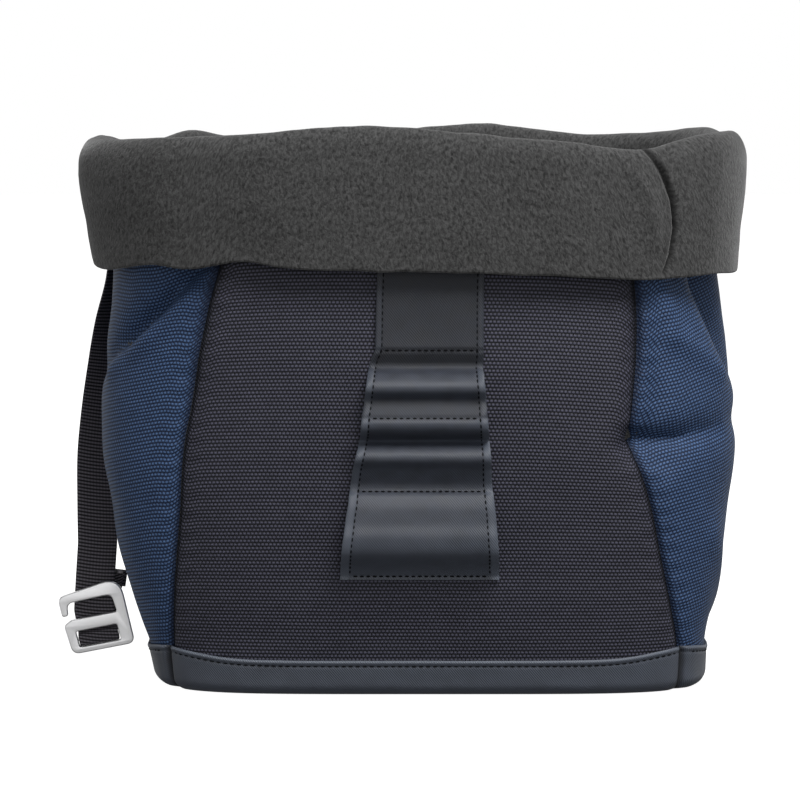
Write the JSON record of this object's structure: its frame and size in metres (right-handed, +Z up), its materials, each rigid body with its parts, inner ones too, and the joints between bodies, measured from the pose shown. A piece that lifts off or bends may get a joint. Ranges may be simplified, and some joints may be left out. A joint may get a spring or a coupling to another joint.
{
  "type": "climbing chalk bag",
  "caption": "Open-topped climbing chalk bag with a fleece lining turned out as a wide cuff, folded side gussets, a slack ladder strip in front and a hanging strap with a flat metal hook.",
  "frame": {"origin": "middle of the flat underside of the base, on the floor that the bag stands on", "axes": "+Z up out of the mouth, -Y towards the front with the ladder strip, +X to the right as seen from the front"},
  "size_m": [0.3419, 0.2101, 0.2703],
  "materials": {
    "fleece": "grey fleece with a short soft nap",
    "black_weave": "near-black coarse woven nylon",
    "navy_weave": "navy coarse woven nylon",
    "coated_fabric": "smooth dark coated fabric with a soft shine",
    "webbing": "black ribbed webbing",
    "satin_aluminium": "tumbled satin aluminium"
  },
  "bodies": {
    "root": {"front_panel": "black_weave", "back_panel": "black_weave", "left_gusset": "navy_weave", "right_gusset": "navy_weave", "front_band": "coated_fabric", "back_band": "coated_fabric", "left_band": "coated_fabric", "right_band": "coated_fabric", "base_panel": "coated_fabric", "fleece_lining": "fleece", "closure_ladder": "coated_fabric", "strap": "webbing", "g_hook": "satin_aluminium"}
  },
  "joints": []
}
